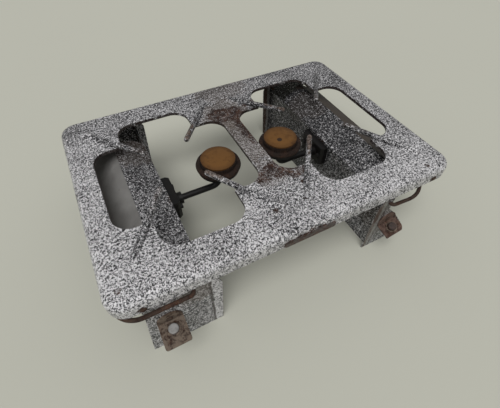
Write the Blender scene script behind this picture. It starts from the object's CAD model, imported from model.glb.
import math

import bmesh
import bpy
from mathutils import Matrix, Vector


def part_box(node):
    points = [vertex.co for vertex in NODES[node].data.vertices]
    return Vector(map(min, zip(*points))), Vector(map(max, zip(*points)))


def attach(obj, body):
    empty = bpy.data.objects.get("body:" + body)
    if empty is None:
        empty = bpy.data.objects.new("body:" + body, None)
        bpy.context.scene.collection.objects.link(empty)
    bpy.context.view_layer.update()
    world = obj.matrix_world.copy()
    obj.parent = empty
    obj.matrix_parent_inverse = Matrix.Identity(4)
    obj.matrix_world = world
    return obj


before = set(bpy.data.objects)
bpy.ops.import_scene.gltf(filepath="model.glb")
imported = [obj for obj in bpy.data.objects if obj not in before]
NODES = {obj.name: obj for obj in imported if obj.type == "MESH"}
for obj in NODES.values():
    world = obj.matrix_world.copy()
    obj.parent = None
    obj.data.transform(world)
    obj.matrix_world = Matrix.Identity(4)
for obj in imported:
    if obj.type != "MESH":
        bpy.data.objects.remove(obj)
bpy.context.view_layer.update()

PLATE_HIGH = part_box("top_plate")[1]
TOP_Z = PLATE_HIGH.z
HALF_W = PLATE_HIGH.x
HALF_D = PLATE_HIGH.y
SIDES = ("left", "right")
ENDS = ("front", "back")
HANDS = ("outer", "inner")
BRIDGE_END = 0.078          # where the bridge between the openings widens, front and back
FOLD_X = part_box("right_leg_panel")[0].x     # the legs' inner walls
ROD_R = 0.004               # radius of a finger's rod
COARSE_FLECK = 0.0025       # grains of the enamel's two noises
FINE_FLECK = 0.0012


def node_middle(name):
    """Middle of a CAD node's box."""
    low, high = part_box(name)
    return (low + high) / 2


# ---- colours, as linear values ---------------------------------------------

WHITE_FLECK = (0.66, 0.65, 0.66)
GREY_FLECK = (0.105, 0.102, 0.108)
BLACK_FLECK = (0.005, 0.005, 0.006)
RUST_DARK = (0.018, 0.009, 0.007)
RUST_BROWN = (0.052, 0.024, 0.015)
RUST_ORANGE = (0.135, 0.056, 0.027)
RUST_PINK = (0.150, 0.098, 0.078)
RUST_FILM = (0.185, 0.145, 0.112)
BADGE_FILM = (0.26, 0.24, 0.23)
STAIN_BROWN = (0.075, 0.052, 0.036)
STRIP_BROWN = (0.055, 0.032, 0.020)
STRIP_GREY = (0.17, 0.165, 0.155)
SOOT = (0.0035, 0.003, 0.003)
DUST = (0.055, 0.045, 0.038)
BURNT_BROWN = (0.10, 0.065, 0.045)
BURNT_GREY = (0.20, 0.16, 0.13)
BRASS = (0.215, 0.102, 0.031)
BRASS_DARK = (0.085, 0.040, 0.016)
BRASS_SPOT = (0.03, 0.022, 0.018)
STEEL = (0.125, 0.120, 0.115)
STEEL_PALE = (0.205, 0.200, 0.192)
PANEL_BROWN = (0.040, 0.025, 0.018)
BOLT_GREY = (0.20, 0.195, 0.19)
BOLT_PALE = (0.31, 0.305, 0.295)
FLOOR = (0.497, 0.497, 0.429)


# ---- shader building --------------------------------------------------------

class Shader:
    """Builds one material out of short calls; every call returns an output socket."""

    def __init__(self, name):
        self.material = bpy.data.materials.new(name)
        self.material.use_nodes = True
        self.tree = self.material.node_tree
        self.surface = self.tree.nodes["Principled BSDF"]
        self.place = self.add("ShaderNodeTexCoord").outputs["Object"]
        self.normal = self.add("ShaderNodeNewGeometry").outputs["Normal"]

    def add(self, kind):
        """A new node of the given kind."""
        return self.tree.nodes.new(kind)

    def feed(self, socket, value):
        """Links a socket, or sets a constant on it."""
        if isinstance(value, bpy.types.NodeSocket):
            self.tree.links.new(value, socket)
        elif isinstance(value, tuple) and len(value) == 3 and socket.type == "RGBA":
            socket.default_value = (*value, 1)
        else:
            socket.default_value = value

    def math(self, operation, a, b=0.0):
        """A sum, product or other operation on two numbers."""
        node = self.add("ShaderNodeMath")
        node.operation = operation
        self.feed(node.inputs[0], a)
        self.feed(node.inputs[1], b)
        return node.outputs[0]

    def vector(self, operation, a, b=(0, 0, 0)):
        """The same on two vectors; LENGTH gives a number."""
        node = self.add("ShaderNodeVectorMath")
        node.operation = operation
        self.feed(node.inputs[0], a)
        self.feed(node.inputs[1], b)
        return node.outputs["Value" if operation == "LENGTH" else "Vector"]

    def axis(self, vector, index):
        """One component of a vector: 0 is X, 1 is Y and 2 is Z."""
        node = self.add("ShaderNodeSeparateXYZ")
        self.feed(node.inputs[0], vector)
        return node.outputs[index]

    def noise(self, size, detail=2.0, rough=0.5, warp=0.0):
        """Noise with grains of about the given size, in metres."""
        node = self.add("ShaderNodeTexNoise")
        self.feed(node.inputs["Vector"], self.place)
        node.inputs["Scale"].default_value = 1 / size
        node.inputs["Detail"].default_value = detail
        node.inputs["Roughness"].default_value = rough
        node.inputs["Distortion"].default_value = warp
        return node.outputs["Fac"]

    def step(self, value, low, high):
        """0 below low, 1 above high, smooth between; low may be the larger one."""
        node = self.add("ShaderNodeMapRange")
        node.interpolation_type = "SMOOTHSTEP"
        self.feed(node.inputs["Value"], value)
        node.inputs["From Min"].default_value = low
        node.inputs["From Max"].default_value = high
        return node.outputs["Result"]

    def ramp(self, value, stops):
        """Colour ramp through (position, colour) stops."""
        node = self.add("ShaderNodeValToRGB")
        self.feed(node.inputs["Fac"], value)
        elements = node.color_ramp.elements
        while len(elements) < len(stops):
            elements.new(0.5)
        for element, (position, colour) in zip(elements, stops):
            element.position = position
            element.color = (*colour, 1)
        return node.outputs["Color"]

    def mix(self, share, a, b, blend="MIX"):
        """The colour a where share is 0 and b where it is 1, or b blended into a."""
        node = self.add("ShaderNodeMix")
        node.data_type = "RGBA"
        node.blend_type = blend
        self.feed(node.inputs[0], share)
        self.feed(node.inputs[6], a)
        self.feed(node.inputs[7], b)
        return node.outputs[2]

    def between(self, share, a, b):
        """The number a where share is 0 and b where it is 1."""
        node = self.add("ShaderNodeMix")
        self.feed(node.inputs[0], share)
        self.feed(node.inputs[2], a)
        self.feed(node.inputs[3], b)
        return node.outputs[0]

    def blotch(self, centre, radius, ragged, squash=(1, 1, 1)):
        """Mask of a ragged patch round a point; a squash above 1 shortens it along that axis."""
        away = self.vector("MULTIPLY", self.vector("SUBTRACT", self.place, tuple(centre)), squash)
        distance = self.math("DIVIDE", self.vector("LENGTH", away), radius)
        wobble = self.math("MULTIPLY", self.rough_edge, ragged * 2)
        return self.step(self.math("ADD", distance, wobble), 1.0 + ragged, 0.82 + ragged)

    def largest(self, masks):
        """The largest of several masks."""
        total = masks[0]
        for mask in masks[1:]:
            total = self.math("MAXIMUM", total, mask)
        return total

    @property
    def rough_edge(self):
        """Noise that all blotches of one material share, made at its first use."""
        if not hasattr(self, "_rough_edge"):
            self._rough_edge = self.noise(0.011, 5, 0.68, 0.6)
        return self._rough_edge

    def finish(self, colour, roughness, height=None, depth=0.0, metallic=0.0, coat=0.0,
               specular=0.25):
        """Feeds the surface and returns the material; depth is the bump's height in metres."""
        self.feed(self.surface.inputs["Base Color"], colour)
        self.feed(self.surface.inputs["Roughness"], roughness)
        self.feed(self.surface.inputs["Metallic"], metallic)
        self.surface.inputs["Coat Weight"].default_value = coat
        self.surface.inputs["Coat Roughness"].default_value = 0.3
        self.surface.inputs["Specular IOR Level"].default_value = specular
        if height is not None:
            bump = self.add("ShaderNodeBump")
            bump.inputs["Strength"].default_value = 1.0
            bump.inputs["Distance"].default_value = depth
            self.feed(bump.inputs["Height"], height)
            self.tree.links.new(bump.outputs[0], self.surface.inputs["Normal"])
        return self.material


def rust_colour(s, grain):
    """Mottled, granular rust, from nearly black to brown."""
    coarse = s.noise(grain * 3, 5, 0.65, 0.4)
    fine = s.noise(grain * 0.35, 4, 0.7)
    both = s.math("ADD", s.math("MULTIPLY", coarse, 0.5), s.math("MULTIPLY", fine, 0.5))
    return s.ramp(both, [(0.47, RUST_DARK), (0.57, RUST_BROWN), (0.70, RUST_ORANGE)])


def fleck_colour(s, shade, density):
    """Black, grey and white flecks of granite enamel, and the grain they are cut from.

    shade scales the grey and the white, and density moves flecks towards black. The plate has
    been worn darker towards its right and its back.
    """
    coarse = s.noise(COARSE_FLECK, 3, 0.62, 0.9)
    fine = s.noise(FINE_FLECK, 3, 0.6, 0.4)
    drift = s.noise(0.060, 3, 0.5)
    grain = s.math("ADD", s.math("MULTIPLY", coarse, 0.55), s.math("MULTIPLY", fine, 0.45))
    grain = s.math("ADD", grain, s.math("MULTIPLY", s.math("SUBTRACT", drift, 0.5), 0.09))
    worn_right = s.math("MULTIPLY", s.axis(s.place, 0), 0.045)
    worn_back = s.math("MULTIPLY", s.axis(s.place, 1), 0.12)
    grain = s.math("SUBTRACT", grain, s.math("ADD", worn_right, worn_back))
    grain = s.math("SUBTRACT", grain, density)
    white = tuple(c * shade for c in WHITE_FLECK)
    grey = tuple(c * shade for c in GREY_FLECK)
    return s.ramp(grain, [(0.468, BLACK_FLECK), (0.505, grey), (0.545, white)]), grain


def band(s, value, low, high, soft=0.001):
    """Mask of the stretch where value lies between low and high."""
    return s.math("MULTIPLY", s.step(value, low - soft, low + soft),
                  s.step(value, high + soft, high - soft))


def enamel(name, shade, density, trim, blotches, stains):
    """Granite enamel with rust broken through at the blotches, and brown stains.

    trim(s, colour) adds what only the plate or only the legs have.
    """
    s = Shader(name)
    colour, grain = fleck_colour(s, shade, density)
    for centre, radius, strength in stains:
        mask = s.math("MULTIPLY", s.blotch(centre, radius, 0.6), strength)
        colour = s.mix(mask, colour, STAIN_BROWN)
    colour = trim(s, colour)
    roughness = s.math("ADD", 0.30, s.math("MULTIPLY", s.noise(0.03, 3), 0.16))
    rust = [s.blotch(*blotch) for blotch in blotches]
    rust.append(s.math("MULTIPLY", s.step(s.noise(0.013, 5, 0.65, 0.5), 0.715, 0.735), 0.85))
    bitten = s.math("ADD", grain, s.math("MULTIPLY", s.noise(0.009, 5, 0.7), 0.5))
    eaten = s.step(bitten, 0.83, 0.76)      # the dark flecks go first
    total = s.math("MULTIPLY", s.largest(rust), s.math("ADD", 0.50, s.math("MULTIPLY", eaten, 0.50)))
    colour = s.mix(total, colour, rust_colour(s, 0.004))
    roughness = s.between(total, roughness, 0.92)
    chip = s.math("MULTIPLY", total, -0.6)
    scab = s.math("MULTIPLY", s.math("MULTIPLY", s.noise(0.0022, 4, 0.7), total), 0.9)
    soft = s.math("MULTIPLY", s.noise(0.008, 2), 0.10)
    relief = s.math("ADD", soft, s.math("MULTIPLY", grain, 0.12))
    height = s.math("ADD", s.math("ADD", chip, scab), relief)
    return s.finish(colour, roughness, height, 0.0007, coat=0.08)


def plate_edges(s, colour):
    """Burnt dark lips round the plate's openings, and soot on its underside."""
    steep = s.step(s.math("ABSOLUTE", s.axis(s.normal, 2)), 0.75, 0.45)
    across = s.math("ABSOLUTE", s.axis(s.place, 0))
    along = s.math("ABSOLUTE", s.axis(s.place, 1))
    inside = s.math("MULTIPLY", s.step(across, HALF_W - 0.021, HALF_W - 0.023),
                    s.step(along, HALF_D - 0.030, HALF_D - 0.035))
    chipped = s.step(s.noise(0.012, 4, 0.6), 0.36, 0.46)
    edge = s.math("MULTIPLY", s.math("MULTIPLY", steep, inside), chipped)
    colour = s.mix(s.math("MULTIPLY", edge, 0.88), colour, RUST_DARK)
    below = s.step(s.axis(s.normal, 2), -0.5, -0.8)
    return s.mix(s.math("MULTIPLY", below, 0.6), colour, SOOT)


def leg_strips(s, colour):
    """Flange strips inside the legs' folds: pale at the left, worn brown and grey at the right."""
    width, brown_from, lap, line = 0.016, 0.005, 0.0005, 0.003
    upright = s.step(s.math("ABSOLUTE", s.axis(s.normal, 1)), 0.6, 0.9)
    x = s.axis(s.place, 0)
    uneven = s.math("MULTIPLY", s.math("SUBTRACT", s.noise(0.012, 4, 0.6), 0.5), 0.008)
    wavy = s.math("ADD", x, uneven)
    bright = fleck_colour(s, 1.0, -0.010)[0]
    left = s.math("MULTIPLY", band(s, wavy, -FOLD_X, -FOLD_X + width), upright)
    colour = s.mix(s.math("MULTIPLY", left, 0.85), colour, bright)
    brown = s.math("MULTIPLY", band(s, wavy, FOLD_X - width, FOLD_X - brown_from), upright)
    colour = s.mix(s.math("MULTIPLY", brown, 0.75), colour, STRIP_BROWN)
    grey = s.math("MULTIPLY", band(s, wavy, FOLD_X - brown_from, FOLD_X + lap), upright)
    colour = s.mix(s.math("MULTIPLY", grey, 0.7), colour, STRIP_GREY)
    fold = s.math("MULTIPLY", band(s, s.math("ABSOLUTE", wavy), FOLD_X + lap, FOLD_X + line), upright)
    return s.mix(s.math("MULTIPLY", fold, 0.85), colour, RUST_DARK)


def rusty(name, film, grain, shade=1.0, film_colour=RUST_FILM):
    """Rusty iron; film is the share of a pale film over it, and shade darkens the whole."""
    s = Shader(name)
    colour = rust_colour(s, grain)
    cover = s.step(s.noise(grain * 1.6, 6, 0.75, 0.5), 0.36, 0.58)
    film_share = s.math("MULTIPLY", cover, film)
    colour = s.mix(film_share, colour, film_colour)
    if shade != 1.0:
        colour = s.mix(1.0, colour, (shade, shade, shade), "MULTIPLY")
    height = s.math("ADD", s.noise(0.0016, 4, 0.7), s.math("MULTIPLY", s.noise(0.007, 3), 0.8))
    return s.finish(colour, 0.86, height, 0.0007)


def black_iron():
    """Black paint over iron, dusty, with rust at worn spots."""
    s = Shader("black_iron")
    dust = s.step(s.noise(0.014, 4, 0.6), 0.50, 0.72)
    colour = s.mix(s.math("MULTIPLY", dust, 0.12), SOOT, DUST)
    worn = s.step(s.noise(0.009, 4, 0.65, 0.4), 0.66, 0.70)
    colour = s.mix(s.math("MULTIPLY", worn, 0.25), colour, rust_colour(s, 0.004))
    height = s.noise(0.0025, 4, 0.65)
    return s.finish(colour, s.math("ADD", 0.42, s.math("MULTIPLY", dust, 0.35)), height, 0.0004)


def plain_steel():
    """Dull bare sheet with faint clouds and a brown tinge along its lower edge."""
    s = Shader("plain_steel")
    cloud = s.noise(0.05, 4, 0.55, 0.8)
    colour = s.ramp(cloud, [(0.3, STEEL), (0.7, STEEL_PALE)])
    brown = s.step(s.axis(s.place, 2), TOP_Z - 0.038, TOP_Z - 0.048)
    colour = s.mix(s.math("MULTIPLY", brown, 0.6), colour, RUST_BROWN)
    right = s.math("MULTIPLY", s.step(s.axis(s.place, 0), 0.1, 0.15), 0.85)
    colour = s.mix(right, colour, PANEL_BROWN)
    spots = s.step(s.noise(0.007, 4, 0.65), 0.68, 0.72)
    colour = s.mix(s.math("MULTIPLY", spots, 0.6), colour, RUST_BROWN)
    height = s.noise(0.004, 3, 0.6)
    return s.finish(colour, 0.60, height, 0.0002)


def bolt_steel():
    """Pale worn steel; the bolt of the askew bracket, at the right front, is brown."""
    s = Shader("bolt_steel")
    worn = s.noise(0.008, 4, 0.6)
    colour = s.ramp(worn, [(0.30, BOLT_GREY), (0.60, BOLT_PALE)])
    shank = s.step(s.axis(s.normal, 2), 0.6, 0.2)
    colour = s.mix(s.math("MULTIPLY", shank, 0.6), colour, RUST_BROWN)
    right_front = s.math("MULTIPLY", s.step(s.axis(s.place, 0), 0.0, 0.01),
                         s.step(s.axis(s.place, 1), 0.0, -0.01))
    colour = s.mix(s.math("MULTIPLY", right_front, 0.92), colour, rust_colour(s, 0.005))
    return s.finish(colour, 0.58, s.noise(0.002, 3, 0.6), 0.0002, metallic=0.1)


def cap_brass(side):
    """Tarnished brass cap: paler crown, burnt rim; the right one has a dark spot."""
    s = Shader(f"{side}_cap_brass")
    middle = node_middle(f"{side}_burner_cap")
    low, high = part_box(f"{side}_burner_cap")
    radius = (high.x - low.x) / 2
    flat = s.vector("MULTIPLY", s.vector("SUBTRACT", s.place, tuple(middle)), (1, 1, 0))
    share = s.math("DIVIDE", s.vector("LENGTH", flat), radius)
    cloud = s.noise(0.010, 5, 0.62, 0.5)
    tarnish = s.math("ADD", s.math("MULTIPLY", s.step(share, 0.62, 1.02), 0.55),
                     s.math("MULTIPLY", s.step(cloud, 0.48, 0.70), 0.42))
    colour = s.mix(tarnish, BRASS, BRASS_DARK)
    pin = s.step(s.noise(0.0028, 3, 0.6), 0.68, 0.74)
    colour = s.mix(s.math("MULTIPLY", pin, 0.5), colour, RUST_DARK)
    if side == "right":
        off_middle = Vector((-0.006, -0.007, 0.004))
        spot = s.blotch(middle + off_middle, 0.0042, 0.3)
        colour = s.mix(s.math("MULTIPLY", spot, 0.85), colour, BRASS_SPOT)
    height = s.math("ADD", s.noise(0.003, 4, 0.6), s.math("MULTIPLY", s.noise(0.012, 2), 1.5))
    roughness = s.math("ADD", 0.40, s.math("MULTIPLY", cloud, 0.25))
    return s.finish(colour, roughness, height, 0.0002, metallic=0.75, specular=0.4)


# ---- where the enamel is rusty or stained -----------------------------------
# A blotch is its centre, radius, raggedness and squash; a stain is centre, radius and strength.

def plate_blotches():
    """Rust broken through the plate's enamel: at the bridge, in small spots and on the rim."""
    top = TOP_Z
    return [
        (Vector((-0.010, BRIDGE_END + 0.004, top)), 0.020, 0.9, (0.9, 1, 1)),
        (Vector((0.014, BRIDGE_END - 0.004, top)), 0.022, 0.9, (1.2, 0.9, 1)),
        (Vector((0.012, BRIDGE_END - 0.040, top)), 0.030, 0.9, (2.6, 0.7, 1)),
        (Vector((0.014, -BRIDGE_END + 0.012, top)), 0.024, 0.9, (0.8, 1.3, 1)),
        (Vector((-0.016, -BRIDGE_END + 0.006, top)), 0.015, 0.9, (0.9, 1.2, 1)),
        (Vector((0.032, -BRIDGE_END - 0.006, top)), 0.016, 0.9, (0.7, 1.6, 1)),
        (Vector((0.030, -0.106, top)), 0.006, 0.9, (1, 1, 1)),
        (Vector((0.052, BRIDGE_END + 0.014, top)), 0.014, 0.9, (0.8, 1.3, 1)),
        (Vector((-0.029, -0.131, top)), 0.0042, 0.5, (1, 1, 1)),
        (Vector((-0.231, -0.149, top)), 0.0040, 0.45, (1, 1, 1)),
        (Vector((HALF_W - 0.046, -HALF_D + 0.013, top)), 0.0042, 0.25, (1, 1, 1)),
        (Vector((-0.215, -HALF_D, top - 0.018)), 0.0060, 0.4, (1, 1, 1)),
        (Vector((0.213, -HALF_D, top - 0.020)), 0.0060, 0.4, (1, 1, 1)),
        (Vector((0.0, -HALF_D, top - 0.019)), 0.017, 0.7, (0.42, 1, 1.3)),
    ]


def plate_stains():
    """Brown stains along the bridge and the back edge."""
    top = TOP_Z
    return [
        (Vector((0.0, BRIDGE_END + 0.004, top)), 0.042, 0.42),
        (Vector((0.02, HALF_D - 0.005, top)), 0.055, 0.30),
        (Vector((0.006, 0.010, top)), 0.060, 0.50),
        (Vector((0.0, -BRIDGE_END + 0.010, top)), 0.032, 0.30),
    ]


def leg_stains():
    """Brown stains on the webs and the end plates."""
    return [
        (Vector((0.165, 0.075, TOP_Z - 0.028)), 0.040, 0.16),
        (Vector((0.145, -HALF_D, 0.070)), 0.045, 0.25),
        (Vector((-0.150, -HALF_D, TOP_Z - 0.035)), 0.030, 0.45),
        (Vector((-0.160, 0.100, TOP_Z - 0.030)), 0.045, 0.30),
    ]


def leg_blotches():
    """Rust round the burner flanges and at the torn end plate."""
    return [
        (Vector((FOLD_X, -0.006, TOP_Z - 0.051)), 0.015, 0.7, (1, 0.9, 1)),
        (Vector((-FOLD_X, -0.020, TOP_Z - 0.050)), 0.016, 0.7, (1, 0.9, 1)),
        (Vector((0.176, -HALF_D, 0.058)), 0.006, 0.7, (0.5, 1, 0.3)),
    ]


def finger_material():
    """Enamel on the fingers, burnt off to brown-grey iron towards the tips."""
    s = Shader("finger_enamel")
    colour, grain = fleck_colour(s, 0.92, 0.022)
    risen = s.step(s.axis(s.place, 2), TOP_Z + 0.0035, TOP_Z + 0.013)
    patchy = s.math("MULTIPLY", s.math("SUBTRACT", s.noise(0.009, 4, 0.65), 0.5), 2.0)
    bare = s.math("MULTIPLY", s.step(s.math("ADD", risen, patchy), 0.55, 1.0), 0.78)
    inner = s.step(s.math("ABSOLUTE", s.axis(s.place, 0)), 0.125, 0.105)
    bare = s.math("MULTIPLY", bare, s.math("ADD", 0.35, s.math("MULTIPLY", inner, 0.65)))
    burnt = [(0.35, RUST_DARK), (0.55, BURNT_BROWN), (0.72, BURNT_GREY)]
    colour = s.mix(bare, colour, s.ramp(s.noise(0.005, 4, 0.65), burnt))
    pitted = s.math("MULTIPLY", s.noise(0.004, 3, 0.6), bare)
    height = s.math("ADD", s.math("MULTIPLY", grain, 0.2), pitted)
    roughness = s.math("ADD", 0.36, s.math("MULTIPLY", bare, 0.45))
    return s.finish(colour, roughness, height, 0.0007, coat=0.1)


# ---- assigning the materials ------------------------------------------------

def paint(piece, material):
    """Gives a piece one material."""
    piece.data.materials.clear()
    piece.data.materials.append(material)


plate_enamel = enamel("plate_enamel", 1.0, 0.0, plate_edges, plate_blotches(), plate_stains())
leg_enamel = enamel("leg_enamel", 0.95, 0.034, leg_strips, leg_blotches(), leg_stains())
finger_enamel = finger_material()
badge_rust = rusty("badge_rust", 0.30, 0.004, 1.0, BADGE_FILM)
bracket_rust = rusty("bracket_rust", 0.85, 0.004)
skew_rust = rusty("skew_bracket_rust", 0.75, 0.004, 1.0, RUST_PINK)
fastener_rust = rusty("fastener_rust", 0.25, 0.003)
ring_rust = rusty("ring_rust", 0.10, 0.004, 0.55)
wire_rust = rusty("wire_rust", 0.15, 0.004)
iron = black_iron()
sheet = plain_steel()
bolt = bolt_steel()

MATERIALS = {
    "top_plate": plate_enamel,
    "badge_bar": badge_rust,
    "rim_screws": fastener_rust,
    "rim_nuts": fastener_rust,
    "bracket_bolts": bolt,
    "bracket_washers": bracket_rust,
    "bracket_nuts": fastener_rust,
    "bracket_rivets": fastener_rust,
    "flange_screws": iron,
}
for side in SIDES:
    MATERIALS[f"{side}_leg_panel"] = leg_enamel
    MATERIALS[f"{side}_outer_panel"] = sheet
    MATERIALS[f"{side}_handle"] = wire_rust
    MATERIALS[f"{side}_burner_flange"] = iron
    MATERIALS[f"{side}_burner_pipe"] = iron
    MATERIALS[f"{side}_burner_body"] = iron
    MATERIALS[f"{side}_port_ring"] = ring_rust
    MATERIALS[f"{side}_burner_cap"] = cap_brass(side)
    for end in ENDS:
        MATERIALS[f"{side}_{end}_end_plate"] = leg_enamel
        MATERIALS[f"{side}_{end}_bracket"] = bracket_rust
        for hand in HANDS:
            MATERIALS[f"{side}_{end}_{hand}_finger"] = finger_enamel
MATERIALS["right_front_bracket"] = skew_rust
for name, material in MATERIALS.items():
    paint(NODES[name], material)


# ---- weld fillets at the fingers' roots -------------------------------------

FILLET_FRONT = 0.010        # how far a fillet reaches past the rod's root
FILLET_RUN = 0.040          # how far it runs along the rod
FILLET_HALF = 0.0125        # half its width at the root
FILLET_RISE = 0.0050        # its height under the rod
FILLET_SUNK = 0.0004        # how far its underside lies in the enamel
STATIONS = 36               # strips along a fillet
ACROSS = 20                 # faces across each strip


def finger_ends(side, end, hand):
    """Root and direction of a finger, as seen from above, from the finger's own box."""
    low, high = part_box(f"{side}_{end}_{hand}_finger")
    outward = (1 if side == "right" else -1) * (1 if hand == "outer" else -1)
    back = 1 if end == "back" else -1
    low, high = low + Vector((ROD_R, ROD_R, 0)), high - Vector((ROD_R, ROD_R, 0))
    root = Vector((high.x if outward > 0 else low.x, high.y if back > 0 else low.y, 0))
    tip = Vector((low.x if outward > 0 else high.x, low.y if back > 0 else high.y, 0))
    return root, (tip - root).normalized()


def fillet_width(along):
    """Half width of the fillet at a distance from the root along the rod."""
    if along < 0:
        return FILLET_HALF * math.sqrt(max(0.0, 1 - (along / FILLET_FRONT) ** 2))
    share = along / FILLET_RUN
    return FILLET_HALF * (1 - share) ** 0.8 * (1 + 0.3 * share)


def fillet_lump(i, seed):
    """Uneven width of a weld, about 1, at station i."""
    return 1 + 0.10 * math.sin(7.1 * i / 3 + seed) + 0.07 * math.sin(2.3 * i + 2 * seed)


def make_fillet(side, end, hand, seed):
    """Low concave mound of enamelled weld that runs from the plate up to the rod's sides."""
    root, direction = finger_ends(side, end, hand)
    sideways = Vector((-direction.y, direction.x, 0))
    mesh = bmesh.new()
    rows = []
    for i in range(STATIONS + 1):
        along = -FILLET_FRONT + (FILLET_FRONT + FILLET_RUN) * i / STATIONS
        half = max(fillet_width(along) * fillet_lump(i, seed), 0.0002)
        rise = FILLET_RISE * min(1.0, half / FILLET_HALF * 1.3)
        row = []
        for j in range(ACROSS + 1):
            v = -1 + 2 * j / ACROSS
            place = root + direction * along + sideways * (v * half)
            place.z = TOP_Z - FILLET_SUNK + rise * (1 - abs(v)) ** 1.7
            row.append(mesh.verts.new(place))
        rows.append(row)
    for first, second in zip(rows, rows[1:]):
        for j in range(ACROSS):
            mesh.faces.new((first[j], second[j], second[j + 1], first[j + 1]))
    underside = [row[0] for row in rows] + rows[-1][1:] + [row[-1] for row in rows[-2::-1]]
    mesh.faces.new(underside + rows[0][-2:0:-1])
    bmesh.ops.recalc_face_normals(mesh, faces=mesh.faces)
    for face in mesh.faces:
        face.smooth = len(face.verts) == 4
    name = f"{side}_{end}_{hand}_weld"
    data = bpy.data.meshes.new(name)
    mesh.to_mesh(data)
    mesh.free()
    piece = bpy.data.objects.new(name, data)
    bpy.context.scene.collection.objects.link(piece)
    paint(piece, plate_enamel)
    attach(piece, "stove")


FINGERS = [(side, end, hand) for side in SIDES for end in ENDS for hand in HANDS]
for seed, (side, end, hand) in enumerate(FINGERS):
    make_fillet(side, end, hand, seed)


# ---- stage, light and camera ------------------------------------------------

def make_floor():
    """Pale table top, far larger than the view."""
    reach, patch = 6.0, 0.8
    floor = bpy.data.objects.new("floor", bpy.data.meshes.new("floor"))
    corners = [(-reach, -reach, 0), (reach, -reach, 0), (reach, reach, 0), (-reach, reach, 0)]
    floor.data.from_pydata(corners, [], [(0, 1, 2, 3)])
    bpy.context.scene.collection.objects.link(floor)
    s = Shader("floor")
    shaded = tuple(c * 0.985 for c in FLOOR)
    tone = s.ramp(s.noise(patch, 2), [(0.3, shaded), (0.7, FLOOR)])
    paint(floor, s.finish(tone, 0.9))


def make_world():
    """Even light from all round."""
    world = bpy.data.worlds.new("studio")
    bpy.context.scene.world = world
    world.use_nodes = True
    background = world.node_tree.nodes["Background"]
    background.inputs["Color"].default_value = (1.0, 1.0, 0.99, 1)
    background.inputs["Strength"].default_value = 0.42


def make_sun(name, place, strength, width):
    """Soft light from the direction of the given place; width is its size in degrees."""
    lamp = bpy.data.lights.new(name, "SUN")
    lamp.energy = strength
    lamp.angle = math.radians(width)
    holder = bpy.data.objects.new(name, lamp)
    holder.rotation_mode = "QUATERNION"
    holder.rotation_quaternion = (-Vector(place)).to_track_quat("-Z", "Y")
    bpy.context.scene.collection.objects.link(holder)


def make_camera():
    """Camera in front of and above the stove's left half, looking down to the right."""
    place = Vector((-0.1820, -0.3429, TOP_Z + 0.3271))
    azimuth, down, roll = math.radians(27.87), math.radians(50.0), math.radians(0.76)
    camera = bpy.data.cameras.new("camera")
    camera.lens = 23.907
    camera.sensor_width = 36
    camera.shift_x, camera.shift_y = 0.0058, -0.0064
    turned = Matrix.Rotation(-azimuth, 4, "Z") @ Matrix.Rotation(math.pi / 2 - down, 4, "X")
    holder = bpy.data.objects.new("camera", camera)
    holder.matrix_world = Matrix.Translation(place) @ turned @ Matrix.Rotation(roll, 4, "Z")
    bpy.context.scene.collection.objects.link(holder)
    bpy.context.scene.camera = holder


make_floor()
make_world()
make_sun("key", (-0.5, -0.7, 1.6), strength=1.9, width=40)
make_camera()
bpy.context.scene.view_settings.view_transform = "Standard"
